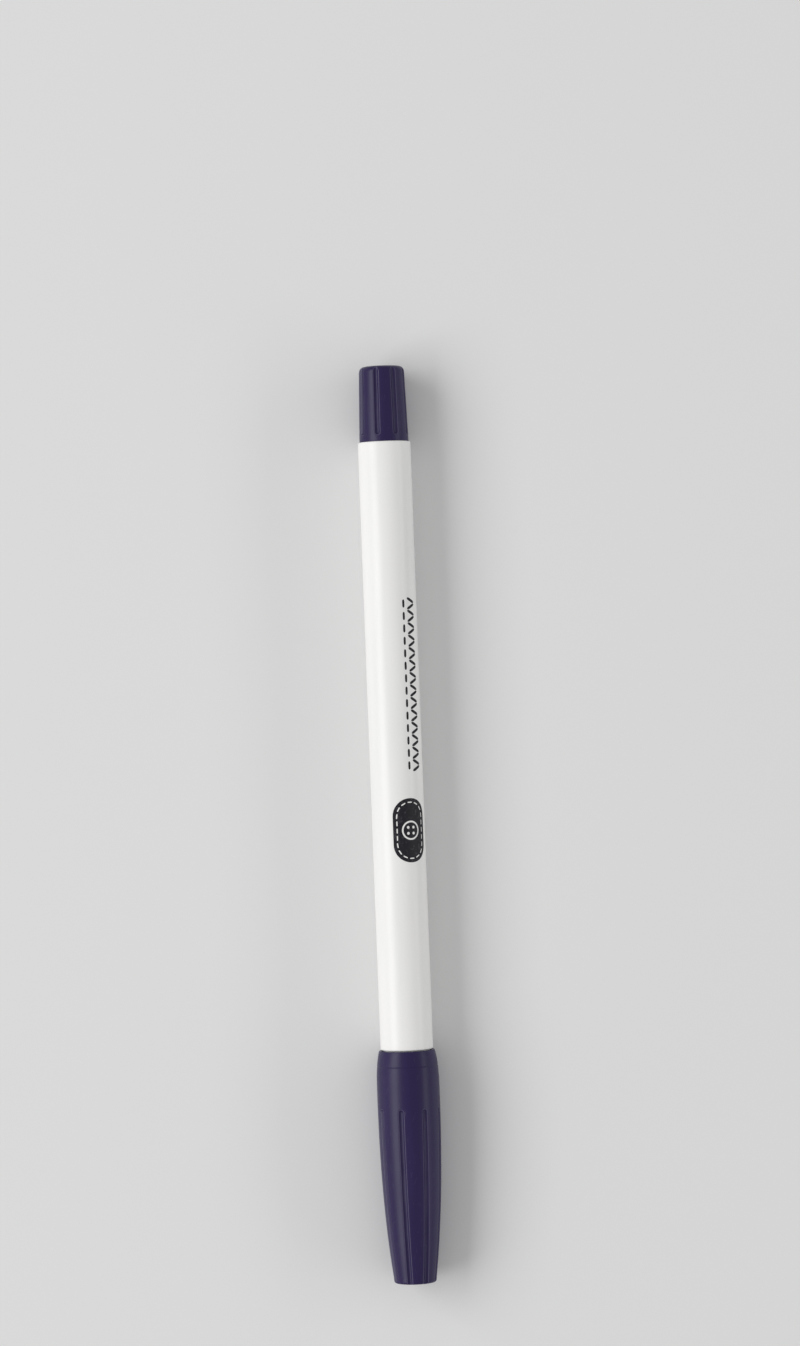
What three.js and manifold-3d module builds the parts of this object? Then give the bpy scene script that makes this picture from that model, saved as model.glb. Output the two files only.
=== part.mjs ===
import * as THREE from "three";
import { mergeVertices } from "three/addons/utils/BufferGeometryUtils.js";
import Module from "manifold-3d";

// A felt-tip fabric marker that lies on its side, in millimetres. Its axis runs along X, with the
// tail at -X and the capped tip at +X. Z is up, and the origin lies under the middle of the pen.
// A station is a place along the axis, counted from the barrel's front rim towards the tip.

const wasm = await Module();
wasm.setup();

// How finely round things are cut
const facets = 48;
const nibFacets = 24;
const edgeSteps = 3;
const bulletSteps = 8;
const taperSteps = 8;
const mergeDistance = 1e-4;

// Fits between pieces
const pressGap = 0.05;
const seatGap = 0.1;
const rimGap = 0.1;

// Barrel, an open tube with rounded rims
const barrelLength = 98;
const barrelDiameter = 8.5;
const barrelWall = 0.8;
const rimRound = 0.3;

// Nose section: a stub in the barrel, a neck that the cap covers, a hollow flare and a slim cone with
// a round tip. Inside, ribs stop the reservoir, and a funnel leads to the bore that grips the nib.
const stubLength = 9;
const stubWall = 0.6;
const stubLead = 0.4;
const neckStep = 0.25;
const neckLength = 17;
const neckRound = 0.45;
const flareShare = 0.25;
const flarePull = 1.3;
const flareLength = 2.5;
const coneLength = 10.2;
const coneRise = 0.7;
const coneTipRise = 0.6;
const coneTipRound = 0.7;
const coneLip = 0.25;
const frontWall = 1.7;
const funnelLength = 1.2;
const funnelRoom = 0.7;
const gripLength = 5;
const stopRibs = 4;
const stopRibWidth = 0.6;

// Click ring on the neck and the bead in the cap that rests behind it
const ringStation = 4;
const ringWidth = 0.9;
const ringHeight = 0.12;
const ringPlay = 0.2;

// Nib, a bullet point on a rod that reaches into the reservoir
const nibDiameter = 1.8;
const nibGap = 0.05;
const nibExposed = 3.9;
const bulletLength = 2.8;
const nibSoak = 4.5;
const nibTailTaper = 0.8;

// Reservoir, a fibre core in a film sleeve
const reservoirGap = 0.1;
const filmWall = 0.15;
const filmGap = 0.05;
const coreRound = 0.3;

// Tail plug: a tapered, grooved end over a hollow stub
const plugLength = 12.2;
const plugStep = 0.27;
const plugTaper = 0.34;
const plugRound = 1.1;
const plugEndWall = 1.6;
const plugSeatDepth = 1;
const plugSeatWidth = 0.6;
const plugGrooveStart = 1;

// Cap: a rim, a bulge and a long taper to a flat closed end
const capRimStep = 0.24;
const capRimLead = 0.15;
const capClear = 0.3;
const capBulgeStep = 0.81;
const bulgeStation = 6;
const rimPull = 2;
const capEndDiameter = 6.8;
const capEndRound = 0.4;
const capWall = 1;
const capEndWall = 1.6;
const taperStart = 8;
const taperPull = 12.6;
const capGrooveStart = 9.3;

// Cap liner, the inner cup that closes on the nose
const tipRoom = 4.2;
const linerWall = 0.6;
const linerSeat = 0.6;
const collarLength = 1.3;
const collarStep = 0.3;

// Grooves along the cap and the tail plug
const grooveCount = 8;
const grooveTurn = THREE.MathUtils.degToRad(30);
const grooveWidth = 0.95;
const grooveDepth = 0.28;
const grooveSides = 12;

// Radii and stations that follow from the sizes above
const barrelRadius = barrelDiameter / 2;
const boreRadius = barrelRadius - barrelWall;
const barrelRear = -barrelLength;
const stubRadius = boreRadius - pressGap;
const holderRadius = stubRadius - stubWall;
const neckRadius = boreRadius + neckStep;
const nibRadius = nibDiameter / 2;
const nibBore = nibRadius + nibGap;
const coneEndRadius = nibBore + coneLip;
const coneTipRadius = coneEndRadius + coneTipRise;
const coneBaseRadius = coneTipRadius + coneRise;
const coneSlope = coneRise / (coneLength - flareLength - coneTipRound);
const noseTip = neckLength + coneLength;
const nibTip = noseTip + nibExposed;
const funnelStart = neckLength - frontWall;
const coreFront = funnelStart - seatGap;
const nibTail = coreFront - nibSoak;
const sleeveRadius = holderRadius - reservoirGap;
const coreRadius = sleeveRadius - filmWall - filmGap;
const coreRear = barrelRear + plugSeatDepth + seatGap;
const plugEnd = barrelRear - plugLength;
const plugBaseRadius = barrelRadius - plugStep;
const plugEndRadius = plugBaseRadius - plugTaper;
const capBore = neckRadius + capClear;
const beadRadius = neckRadius + ringHeight + pressGap;
const beadStation = ringStation - ringWidth - ringPlay;
const bulgeRadius = barrelRadius + capBulgeStep;
const capEndRadius = capEndDiameter / 2;
const linerMouth = neckLength + linerSeat;
const collarEnd = linerMouth + collarLength;
const linerFloor = nibTip + tipRoom;
const linerEnd = linerFloor + linerWall;
const cavityEnd = linerEnd + seatGap;
const capEnd = cavityEnd + capEndWall;
const cavityMouthRadius = capBore - collarStep;
const cavityEndRadius = capEndRadius - capWall;
const grooveRadius = ((grooveWidth / 2) ** 2 + grooveDepth ** 2) / (2 * grooveDepth);
const grooveLift = grooveRadius - grooveDepth;
const restHeight = bulgeRadius * Math.cos(Math.PI / facets);

// Finishes
const whitePlastic = { color: 0xf3f2ee, roughness: 0.35, metalness: 0 };
const violetPlastic = { color: 0x322849, roughness: 0.38, metalness: 0 };
const linerPlastic = { color: 0xe4e1d6, roughness: 0.5, metalness: 0 };
const inkedFelt = { color: 0x3b2142, roughness: 0.85, metalness: 0 };
const soakedFibre = { color: 0x5d3f7c, roughness: 0.95, metalness: 0 };
const clearFilm = { color: 0xd9d4e2, roughness: 0.25, metalness: 0 };

// A point of an outline: its distance from the axis and its station.
function at(radius, station) {
  return new THREE.Vector2(radius, station);
}

// A smooth bend between two points, drawn towards a third.
function bend(from, pull, to, steps) {
  return new THREE.QuadraticBezierCurve(from, pull, to).getPoints(steps);
}

// How far along such a bend, from 0 to 1, it reaches a place. Each place is a number on one axis.
function shareOfBend(from, pull, to, place) {
  const curl = from - 2 * pull + to;
  const slope = 2 * (pull - from);
  const rise = place - from;
  return (2 * rise) / (slope + Math.sqrt(slope * slope + 4 * curl * rise));
}

// Turns an outline round the pen's axis. A flat faces down, so that the pen doesn't lie on an edge.
function turned(outline, sides = facets) {
  const alongX = new THREE.Matrix4().set(0, 1, 0, 0, 0, 0, 1, 0, 1, 0, 0, 0, 0, 0, 0, 1);
  return new THREE.LatheGeometry(outline, sides, Math.PI / sides).applyMatrix4(alongX);
}

// A closed geometry as a solid that can be joined and cut.
function toSolid(geometry) {
  const bare = geometry.clone();
  bare.deleteAttribute("normal");
  bare.deleteAttribute("uv");
  const merged = mergeVertices(bare, mergeDistance);
  return new wasm.Manifold(
    new wasm.Mesh({
      numProp: 3,
      vertProperties: merged.attributes.position.array,
      triVerts: new Uint32Array(merged.index.array),
    }),
  );
}

// A solid's surface as a geometry again.
function toGeometry(solid) {
  const mesh = solid.getMesh();
  const geometry = new THREE.BufferGeometry();
  geometry.setAttribute("position", new THREE.BufferAttribute(mesh.vertProperties, 3));
  geometry.setIndex(new THREE.BufferAttribute(mesh.triVerts, 1));
  geometry.computeVertexNormals();
  return geometry;
}

function piece(name, geometry, finish) {
  const mesh = new THREE.Mesh(geometry, new THREE.MeshStandardMaterial(finish));
  mesh.name = name;
  return mesh;
}

// A round bar with a ball at its start, along a path that lies just above a surface, which cuts a
// shallow groove with a rounded start. The path is drawn over the top of the pen.
function grooveCutter(path, steps) {
  const section = new THREE.Shape();
  section.absarc(0, 0, grooveRadius, 0, 2 * Math.PI);
  const bar = new THREE.ExtrudeGeometry(section, {
    steps,
    curveSegments: grooveSides / 2,
    extrudePath: path,
  });
  const start = path.getPoint(0);
  const ball = new THREE.SphereGeometry(grooveRadius, grooveSides, grooveSides / 2);
  ball.translate(start.x, start.y, start.z);
  return toSolid(bar).add(toSolid(ball));
}

// Cuts the same groove all round a piece.
function grooved(geometry, path, steps) {
  const cutter = toGeometry(grooveCutter(path, steps));
  let solid = toSolid(geometry);
  for (let i = 0; i < grooveCount; i++) {
    const turn = grooveTurn + (i * 2 * Math.PI) / grooveCount;
    solid = solid.subtract(toSolid(cutter.clone().rotateX(-turn)));
  }
  return toGeometry(solid);
}

function barrel() {
  const rearEdge = bend(
    at(barrelRadius - rimRound, barrelRear),
    at(barrelRadius, barrelRear),
    at(barrelRadius, barrelRear + rimRound),
    edgeSteps,
  );
  const frontEdge = bend(
    at(barrelRadius, -rimRound),
    at(barrelRadius, 0),
    at(barrelRadius - rimRound, 0),
    edgeSteps,
  );
  const start = at(boreRadius, barrelRear);
  return turned([start, ...rearEdge, ...frontEdge, at(boreRadius, 0), start]);
}

// A low round ridge. Its bend rises half as far as the point that draws it.
function clickRing(radius, height, station) {
  return bend(
    at(radius, station - ringWidth / 2),
    at(radius + 2 * height, station),
    at(radius, station + ringWidth / 2),
    2 * edgeSteps,
  );
}

// The hollow bend that leads from the neck's rounded edge into the cone.
function noseFlare() {
  const edge = at(neckRadius, neckLength);
  const pull = at(coneBaseRadius + coneSlope * (flareLength - flarePull), neckLength + flarePull);
  const end = at(coneBaseRadius, neckLength + flareLength);
  return new THREE.QuadraticBezierCurve(edge.lerp(pull, flareShare), pull, end);
}

function noseSection() {
  const start = at(holderRadius, -stubLength);
  const flare = noseFlare();
  const neckEdge = bend(
    at(neckRadius, neckLength - neckRound),
    at(neckRadius, neckLength),
    flare.v0,
    edgeSteps,
  );
  const tipEdge = bend(
    at(coneTipRadius, noseTip - coneTipRound),
    at(coneTipRadius, noseTip),
    at(coneEndRadius, noseTip),
    edgeSteps,
  );
  const body = turned([
    start,
    at(stubRadius - stubLead, -stubLength),
    at(stubRadius, -stubLength + stubLead),
    at(stubRadius, 0),
    at(neckRadius, 0),
    ...clickRing(neckRadius, ringHeight, ringStation),
    ...neckEdge,
    ...flare.getPoints(2 * edgeSteps).slice(1),
    ...tipEdge,
    at(nibBore, noseTip),
    at(nibBore, noseTip - gripLength),
    at(nibBore + funnelRoom, funnelStart + funnelLength),
    at(holderRadius, funnelStart),
    start,
  ]);
  let solid = toSolid(body);
  const ribHeight = holderRadius - nibBore - funnelRoom + stubWall / 2;
  for (let i = 0; i < stopRibs; i++) {
    const rib = new THREE.BoxGeometry(funnelLength, stopRibWidth, ribHeight);
    rib.translate(funnelStart + funnelLength / 2, 0, nibBore + funnelRoom + ribHeight / 2);
    rib.rotateX((i * 2 * Math.PI) / stopRibs);
    solid = solid.add(toSolid(rib));
  }
  return toGeometry(solid);
}

function nib() {
  const bulletStart = nibTip - bulletLength;
  const bullet = new THREE.EllipseCurve(0, bulletStart, nibRadius, bulletLength, 0, Math.PI / 2);
  const outline = [
    at(0, nibTail),
    at(nibRadius / 2, nibTail),
    at(nibRadius, nibTail + nibTailTaper),
    ...bullet.getPoints(bulletSteps).slice(0, -1),
    at(0, nibTip),
  ];
  return turned(outline, nibFacets);
}

function reservoirCore() {
  const frontEdge = bend(
    at(coreRadius, coreFront - coreRound),
    at(coreRadius, coreFront),
    at(coreRadius - coreRound, coreFront),
    edgeSteps,
  );
  return turned([
    at(0, coreRear),
    at(coreRadius, coreRear),
    ...frontEdge,
    at(nibBore, coreFront),
    at(nibBore, nibTail),
    at(0, nibTail - seatGap),
  ]);
}

function reservoirSleeve() {
  const inside = sleeveRadius - filmWall;
  const start = at(inside, coreRear);
  return turned([
    start,
    at(sleeveRadius, coreRear),
    at(sleeveRadius, coreFront - coreRound),
    at(inside, coreFront - coreRound),
    start,
  ]);
}

function tailPlug() {
  const stubEnd = barrelRear + stubLength;
  const seat = barrelRear + plugSeatDepth;
  const hollowRadius = holderRadius - plugSeatWidth;
  const endEdge = bend(
    at(plugEndRadius - plugRound, plugEnd),
    at(plugEndRadius, plugEnd),
    at(plugEndRadius, plugEnd + plugRound),
    2 * edgeSteps,
  );
  const body = turned([
    at(0, plugEnd),
    ...endEdge,
    at(plugBaseRadius, barrelRear),
    at(stubRadius, barrelRear),
    at(stubRadius, stubEnd - stubLead),
    at(stubRadius - stubLead, stubEnd),
    at(holderRadius, stubEnd),
    at(holderRadius, seat),
    at(hollowRadius, seat),
    at(hollowRadius, plugEnd + plugEndWall + plugRound),
    at(hollowRadius - plugRound, plugEnd + plugEndWall),
    at(0, plugEnd + plugEndWall),
  ]);
  const path = new THREE.LineCurve3(
    new THREE.Vector3(barrelRear - plugGrooveStart - grooveRadius, 0, plugBaseRadius + grooveLift),
    new THREE.Vector3(plugEnd - grooveRadius, 0, plugEndRadius + grooveLift),
  );
  return grooved(body, path, 1);
}

// The grooves follow the long taper, from a start of their own to past its end.
function capGroovePath() {
  const from = new THREE.Vector3(taperStart, 0, bulgeRadius + grooveLift);
  const pull = new THREE.Vector3(capEnd - taperPull, 0, bulgeRadius + grooveLift);
  const to = new THREE.Vector3(capEnd + grooveRadius, 0, capEndRadius + grooveLift);
  const share = shareOfBend(from.x, pull.x, to.x, capGrooveStart + grooveRadius);
  const restPull = pull.clone().lerp(to, share);
  const start = from.clone().lerp(pull, share).lerp(restPull, share);
  return new THREE.QuadraticBezierCurve3(start, restPull, to);
}

function capShell() {
  const rimSwell = bend(
    at(barrelRadius + capRimStep, rimGap),
    at(bulgeRadius, rimPull),
    at(bulgeRadius, bulgeStation),
    2 * edgeSteps,
  );
  const longTaper = bend(
    at(bulgeRadius, taperStart),
    at(bulgeRadius, capEnd - taperPull),
    at(capEndRadius, capEnd - capEndRound),
    taperSteps,
  );
  const endEdge = bend(
    at(capEndRadius, capEnd - capEndRound),
    at(capEndRadius, capEnd),
    at(capEndRadius - capEndRound, capEnd),
    edgeSteps,
  );
  const body = turned([
    at(0, cavityEnd),
    at(cavityEndRadius, cavityEnd),
    at(cavityMouthRadius, collarEnd + seatGap),
    at(capBore, collarEnd + seatGap),
    ...clickRing(capBore, beadRadius - capBore, beadStation).reverse(),
    at(capBore, rimGap + capRimLead),
    at(capBore + capRimLead, rimGap),
    ...rimSwell,
    ...longTaper,
    ...endEdge.slice(1),
    at(0, capEnd),
  ]);
  return grooved(body, capGroovePath(), taperSteps);
}

// The cup's mouth closes on the flare.
function capLiner() {
  const flare = noseFlare();
  const seatShare = shareOfBend(flare.v0.y, flare.v1.y, flare.v2.y, linerMouth);
  const seatRadius = flare.getPoint(seatShare).x + seatGap;
  const mouthRadius = cavityMouthRadius - pressGap;
  const endRadius = cavityEndRadius - pressGap;
  return turned([
    at(0, linerFloor),
    at(endRadius - linerWall, linerFloor),
    at(mouthRadius - linerWall, collarEnd),
    at(seatRadius, linerMouth),
    at(capBore - pressGap, linerMouth),
    at(capBore - pressGap, collarEnd),
    at(mouthRadius, collarEnd),
    at(endRadius, linerEnd),
    at(0, linerEnd),
  ]);
}

const pen = new THREE.Group();
pen.add(piece("barrel", barrel(), whitePlastic));
pen.add(piece("nose_section", noseSection(), whitePlastic));
pen.add(piece("nib", nib(), inkedFelt));
pen.add(piece("reservoir_core", reservoirCore(), soakedFibre));
pen.add(piece("reservoir_sleeve", reservoirSleeve(), clearFilm));
pen.add(piece("tail_plug", tailPlug(), violetPlastic));

const cap = new THREE.Group();
cap.add(piece("cap_shell", capShell(), violetPlastic));
cap.add(piece("cap_liner", capLiner(), linerPlastic));

const marker = new THREE.Group();
marker.add(pen, cap);
marker.position.set(-(plugEnd + capEnd) / 2, 0, restHeight);

export default marker;
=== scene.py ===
import math

import bpy
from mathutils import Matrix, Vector


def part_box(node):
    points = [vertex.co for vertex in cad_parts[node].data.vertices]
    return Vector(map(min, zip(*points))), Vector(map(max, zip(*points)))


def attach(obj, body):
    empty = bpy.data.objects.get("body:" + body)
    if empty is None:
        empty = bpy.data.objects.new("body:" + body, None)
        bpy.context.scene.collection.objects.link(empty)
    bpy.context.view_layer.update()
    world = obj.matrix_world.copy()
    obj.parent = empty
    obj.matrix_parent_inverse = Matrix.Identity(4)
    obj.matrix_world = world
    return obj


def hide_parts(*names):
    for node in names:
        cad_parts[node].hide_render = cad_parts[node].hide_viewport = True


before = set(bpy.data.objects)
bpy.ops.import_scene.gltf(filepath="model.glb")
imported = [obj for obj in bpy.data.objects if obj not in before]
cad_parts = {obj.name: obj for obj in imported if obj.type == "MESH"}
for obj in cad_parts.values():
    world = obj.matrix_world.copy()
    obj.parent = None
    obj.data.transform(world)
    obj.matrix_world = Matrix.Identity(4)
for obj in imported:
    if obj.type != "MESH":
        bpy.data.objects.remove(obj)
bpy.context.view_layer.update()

# A capped felt-tip fabric marker that lies on its side. Its axis runs along X, with the tail at -X and
# the cap at +X. Sizes are in millimetres, and Blender's places in metres. A station is a place along
# the axis, counted from the barrel's front rim towards the tip. A turn runs from the top towards +Y.

MM = 0.001


def radius_of(node):
    low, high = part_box(node)
    return (high.y - low.y) / 2 / MM


def ends_of(node):
    """The stations of a solid's rear and front end."""
    low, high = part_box(node)
    return (low.x - RIM_X) / MM, (high.x - RIM_X) / MM


# Places and radii that the solids fix
RIM_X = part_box("barrel")[1].x
AXIS_Z = sum(corner.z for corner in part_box("barrel")) / 2
BARREL_RADIUS = radius_of("barrel")
BARREL_REAR = ends_of("barrel")[0]
NOSE_REAR, NOSE_TIP = ends_of("nose_section")
NIB_RADIUS = radius_of("nib")
NIB_TAIL, NIB_TIP = ends_of("nib")
CORE_RADIUS = radius_of("reservoir_core")
CORE_REAR, CORE_FRONT = ends_of("reservoir_core")
SLEEVE_RADIUS = radius_of("reservoir_sleeve")
SLEEVE_FRONT = ends_of("reservoir_sleeve")[1]
PLUG_RADIUS = radius_of("tail_plug")
PLUG_END, PLUG_FRONT = ends_of("tail_plug")
BULGE_RADIUS = radius_of("cap_shell")
CAP_RIM, CAP_END = ends_of("cap_shell")
LINER_RADIUS = radius_of("cap_liner")
LINER_MOUTH, LINER_END = ends_of("cap_liner")

# Fits and edges
PRESS_GAP = 0.05
SEAT_GAP = 0.1
EDGE_BREAK = 0.08

# Barrel
BARREL_WALL = 0.8
BARREL_ROUND = 0.3
BORE_RADIUS = BARREL_RADIUS - BARREL_WALL

# Nose section
STUB_RADIUS = BORE_RADIUS - PRESS_GAP
STUB_WALL = 0.6
STUB_LEAD = 0.4
HOLDER_RADIUS = STUB_RADIUS - STUB_WALL
NECK_STEP = 0.25
NECK_RADIUS = BORE_RADIUS + NECK_STEP
NECK_LENGTH = 17
NECK_ROUND = 0.45
FLARE_SHARE = 0.25
FLARE_PULL = 1.3
FLARE_LENGTH = 2.5
NIB_BORE = NIB_RADIUS + PRESS_GAP
CONE_LIP = 0.25
CONE_TIP_RISE = 0.6
CONE_TIP_ROUND = 0.7
CONE_RISE = 0.7
CONE_END_RADIUS = NIB_BORE + CONE_LIP
CONE_TIP_RADIUS = CONE_END_RADIUS + CONE_TIP_RISE
CONE_BASE_RADIUS = CONE_TIP_RADIUS + CONE_RISE
FUNNEL_START = CORE_FRONT + SEAT_GAP
FUNNEL_LENGTH = 1.2
FUNNEL_ROOM = 0.7
GRIP_LENGTH = 5

# Click ring on the neck, and the bead in the cap that rests behind it
RING_STATION = 4
RING_WIDTH = 0.9
RING_HEIGHT = 0.12
BEAD_STATION = 2.9
BEAD_RADIUS = NECK_RADIUS + RING_HEIGHT + PRESS_GAP

# Nib and reservoir
BULLET_LENGTH = 2.8
NIB_TAIL_TAPER = 0.8
CORE_ROUND = 0.3
FILM_WALL = 0.15

# Tail plug
PLUG_TAPER = 0.34
PLUG_END_RADIUS = PLUG_RADIUS - PLUG_TAPER
PLUG_ROUND = 1.1
PLUG_END_WALL = 1.6
PLUG_SEAT_DEPTH = 1
PLUG_SEAT_WIDTH = 0.6
PLUG_SEAT = BARREL_REAR + PLUG_SEAT_DEPTH
PLUG_HOLLOW_RADIUS = HOLDER_RADIUS - PLUG_SEAT_WIDTH
PLUG_GROOVE_SETBACK = 1
PLUG_GROOVE_START = BARREL_REAR - PLUG_GROOVE_SETBACK

# Cap. Its bore ends in a step for the liner's collar, and a narrower cavity runs on from there.
CAP_RIM_STEP = 0.24
CAP_RIM_RADIUS = BARREL_RADIUS + CAP_RIM_STEP
CAP_CLEAR = 0.3
CAP_BORE = NECK_RADIUS + CAP_CLEAR
CAP_LEAD = 0.15
RIM_PULL = 2
BULGE_STATION = 6
TAPER_START = 8
TAPER_PULL = 12.6
CAP_GROOVE_START = 9.3
CAP_END_RADIUS = 3.4
CAP_END_ROUND = 0.4
CAP_WALL = 1
COLLAR_STEP = 0.3
CAVITY_END_RADIUS = CAP_END_RADIUS - CAP_WALL
CAVITY_MOUTH_RADIUS = CAP_BORE - COLLAR_STEP
LINE_STATION = 2.6
LINE_WIDTH = 0.2
LINE_DEPTH = 0.05

# Cap liner
LINER_WALL = 0.6
LINER_LEAD = 0.3
COLLAR_LENGTH = 1.3
COLLAR_END = LINER_MOUTH + COLLAR_LENGTH

# Mark that the mould's gate leaves in the middle of an end, a shallow dish round a low stub
GATE_RADIUS = 0.9
GATE_DEPTH = 0.12
GATE_STUB_RADIUS = 0.35
GATE_STUB_HEIGHT = 0.07

# Grooves along the cap and the tail plug
GROOVES = 8
GROOVE_TURN = math.radians(30)
GROOVE_WIDTH = 0.95
GROOVE_DEPTH = 0.28
GROOVE_EDGE_ROUND = 0.1

# How finely things are cut. A grooved piece has a sector for each groove.
COLUMNS = 192
SMALL_COLUMNS = 96
SECTOR_COLUMNS = 32
GROOVED_COLUMNS = GROOVES * SECTOR_COLUMNS
GROOVE_COLUMN_SHARE = 0.65
EDGE_STEPS = 6
BULLET_STEPS = 16
FLARE_STEPS = 16
TAPER_STEPS = 40
SIDE_STEP = 0.6
FINE_STEP = 0.06
FINE_REACH = 0.6
FELT_STEP = 0.12
FIBRE_STEP = 1
SHARP_ANGLE = math.radians(32)

# A radius and a distance that count as none, and a skin so far out that no groove reaches the piece
ON_AXIS = 1e-6
SAME_PLACE = 1e-7
NO_SKIN = 1000

# Print on the barrel: a row of zigzag stitches over a row of straight ones, and a stitched patch
PRINT_THICKNESS = 0.03
PRINT_SINK = 0.01
PRINT_REAR = -72.8
PRINT_LENGTH = 28
ZIGZAG_TURN = math.radians(50)
ZIGZAG_HEIGHT = 1.95
ZIGZAG_PITCH = 1
ZIGZAG_GAP = 0.5
ZIGZAG_WIDTH = 0.44
STRAIGHT_TURN = math.radians(30)
STRAIGHT_LENGTH = 1.3
STRAIGHT_PITCH = 2
STRAIGHT_WIDTH = 0.38
STITCH_STEPS = 13
STITCH_ROWS = 3
STITCH_TAPER = 0.7
STITCH_POWER = 6
PATCH_STATION = -35.4
PATCH_TURN = math.radians(28)
PATCH_LENGTH = 10.3
PATCH_HEIGHT = 5.9
PATCH_INSET = 0.65
PATCH_STITCHES = 20
PATCH_STITCH_LENGTH = 0.8
PATCH_STITCH_WIDTH = 0.2
PATCH_STITCH_STEPS = 2
PATCH_CORNER_SHARE = 0.49
PATCH_CORNER_STEPS = 14
PATCH_LEVEL = 3
BUTTON_RADIUS = 1.55
BUTTON_STEPS = 40
BUTTON_RING_WIDTH = 0.28
BUTTON_HOLE_RADIUS = 0.24
BUTTON_HOLE_STEPS = 12
BUTTON_HOLE_SPACING = 0.95

# Colours, as linear red, green, blue and alpha
WHITE = (0.9, 0.895, 0.88, 1)
WHITE_STREAK = (0.85, 0.85, 0.845, 1)
WHITE_SCUFF = (0.74, 0.735, 0.72, 1)
VIOLET = (0.019, 0.0105, 0.062, 1)
VIOLET_STREAK = (0.027, 0.016, 0.078, 1)
# Paler violet for scuffs, for dust and for the painted highlight along groove edges
VIOLET_SCUFF_AND_HIGHLIGHT = (0.24, 0.22, 0.31, 1)
WAX = (0.77, 0.75, 0.68, 1)
WAX_STREAK = (0.7, 0.67, 0.59, 1)
WAX_SCUFF = (0.84, 0.82, 0.76, 1)
INKED_FELT = (0.03, 0.01, 0.04, 1)
INKED_STRAND = (0.1, 0.045, 0.125, 1)
FIBRE = (0.11, 0.05, 0.2, 1)
FIBRE_STRAND = (0.2, 0.12, 0.32, 1)
FILM = (0.7, 0.66, 0.76, 1)
FILM_CREASE = (0.8, 0.78, 0.84, 1)
INK = (0.012, 0.011, 0.016, 1)
THIN_INK = (0.05, 0.048, 0.056, 1)
FLOOR = (0.8, 0.8, 0.8, 1)

# Grain of the finishes: sizes and stretches of soft noise's lumps, and spans over which values fade in
NOISE_MIDDLE = 0.5

# Moulded plastic: flow streaks, an uneven gloss and a fine skin
FLOW_STRETCH = (12, 1, 1)
FLOW_SIZE = 2.5
FLOW_DETAIL = 4
FLOW_SPAN = (0.42, 0.68)
FLOW_SHARE = 0.6
LUMP_SIZE = 7
SKIN_SIZE = 0.22
SKIN_DETAIL = 3
SKIN_DEPTH = 0.008

# Grooves: rubbed edges that are glossier and painted paler as a painted highlight, and dusty floors, by
# the share of a groove's depth
RUBBED_AND_HIGHLIGHT_START = (0.005, 0.06)
RUBBED_AND_HIGHLIGHT_END = (0.1, 0.35)
RUBBED_AND_HIGHLIGHT_SHARE = 0.3
RUBBED_GLOSS = 0.05
DUST_START = (0.5, 1)
DUST_SPAN = (0.35, 0.75)
DUST_SHARE = 0.12
DUST_ROUGHNESS = 0.15

# Scuffs: two sets, each with its lean in radians, its noise's size and the size of its clusters
LENGTHWISE_SCUFFS = (0.05, 0.9, 1.6)
SLANTING_SCUFFS = (-0.3, 1.3, 1.2)
SCUFF_STRETCH = 70
HAIRLINE = 0.035
LEAST_SLOPE = 1e-5
CLUSTER_SPAN = (0.55, 0.62)
END_FACE_SPAN = (0.4, 0.8)
SCUFF_SHARE = 0.12
SCUFF_ROUGHNESS = 0.1
SCUFF_DEPTH = 0.3

# Felt and fibre
STRAND_DETAIL = 3
STRAND_SPAN = (0.5, 0.75)
BLOTCH_SIZE = 2
BLOTCH_SPAN = (0.3, 0.7)
FELT_ROUGHNESS = 0.72
STRAND_ROUGHNESS = 0.3

# Film: lengthwise creases
FILM_STRETCH = (20, 1, 1)
CREASE_SIZE = 0.8
CREASE_SPAN = (0.55, 0.7)
CREASE_DEPTH = 0.02
CREASE_ROUGHNESS = 0.2
FILM_ROUGHNESS = 0.18

# Ink: thin places, and grain in its gloss
THIN_SIZE = 0.5
THIN_DETAIL = 4
THIN_SPAN = (0.52, 0.75)
INK_GRAIN_SIZE = 0.08
INK_GRAIN_DEPTH = 0.003
INK_GRAIN_ROUGHNESS = 0.2
INK_ROUGHNESS = 0.42

# Sockets of a Mix node that mixes colours
MIX_SHARE = 0
MIX_FIRST = 6
MIX_SECOND = 7
MIX_COLOUR = 2

# Camera. Pixels are the photograph's, which is 800 by 1346, and the pen's pixel is its middle.
PHOTO_MIDDLE = (400, 673)
PHOTO_HEIGHT = 1346
PEN_PIXEL = (398.4, 824.3)
PIXELS_PER_MM = 6.2
PEN_LEAN = math.radians(2.15)
LENS = 120
SENSOR = 36

# Floor and lamps, in metres
FLOOR_RADIUS = 4
FLOOR_CORNERS = 64
ROOM_LIGHT = 0.46
KEY_PLACE = (-0.1, -1.16, 0.92)
KEY_SIZE = (1.8, 0.8)
KEY_LEVEL = 0.68
FILL_PLACE = (0.1, 1.2, 0.5)
FILL_SIZE = (1.6, 0.24)
FILL_LEVEL = 0.2


class Wire:
    """A socket in a node tree that can be written in a sum."""

    def __init__(self, graph, socket):
        self.graph = graph
        self.socket = socket

    def also(self, name):
        """Another output of the same node."""
        return Wire(self.graph, self.socket.node.outputs[name])

    def math(self, operation, *others):
        return self.graph.sum(operation, self, *others)

    def __add__(self, other):
        return self.graph.sum("ADD", self, other)

    def __radd__(self, other):
        return self.graph.sum("ADD", other, self)

    def __sub__(self, other):
        return self.graph.sum("SUBTRACT", self, other)

    def __rsub__(self, other):
        return self.graph.sum("SUBTRACT", other, self)

    def __mul__(self, other):
        return self.graph.sum("MULTIPLY", self, other)

    def __rmul__(self, other):
        return self.graph.sum("MULTIPLY", other, self)

    def __truediv__(self, other):
        return self.graph.sum("DIVIDE", self, other)

    def __rtruediv__(self, other):
        return self.graph.sum("DIVIDE", other, self)


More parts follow.
